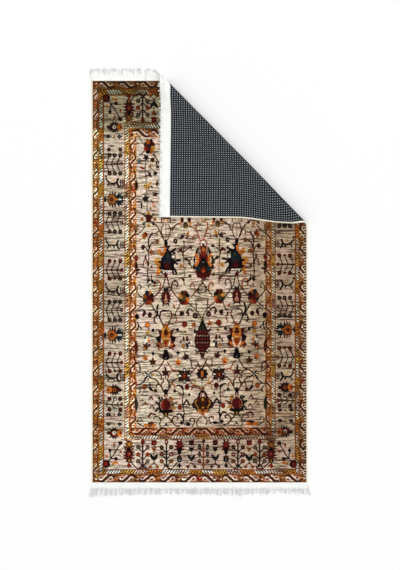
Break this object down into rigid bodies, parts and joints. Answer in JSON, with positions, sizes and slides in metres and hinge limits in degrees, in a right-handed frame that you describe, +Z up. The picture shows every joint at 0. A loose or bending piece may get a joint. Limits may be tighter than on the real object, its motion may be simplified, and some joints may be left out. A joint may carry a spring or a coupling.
{
  "type": "fringed area rug with one corner folded over",
  "caption": "Flat pile rug with a flower pattern, fringed ends and bound sides, one corner folded over to show a dotted non-slip backing.",
  "frame": {"origin": "middle of the rug's outline, fringes included, on the floor under it", "axes": "+X across the rug to its right side, +Y along the rug to the end with the folded corner, +Z up from the floor"},
  "size_m": [0.8172, 1.5816, 0.0393],
  "materials": {
    "pile": "short woven pile, matt",
    "backing_cloth": "dark non-woven cloth, matt",
    "backing_dots": "small moulded grip dots, matt",
    "binding_yarn": "overlocked cotton yarn",
    "fringe_yarn": "twisted cotton yarn"
  },
  "bodies": {
    "root": {"backing": "backing_cloth", "pile_face": "pile", "binding_left": "binding_yarn", "binding_right": "binding_yarn", "fringe_bottom": "fringe_yarn", "fringe_top_flat": "fringe_yarn", "fringe_top_folded": "fringe_yarn"}
  },
  "joints": []
}
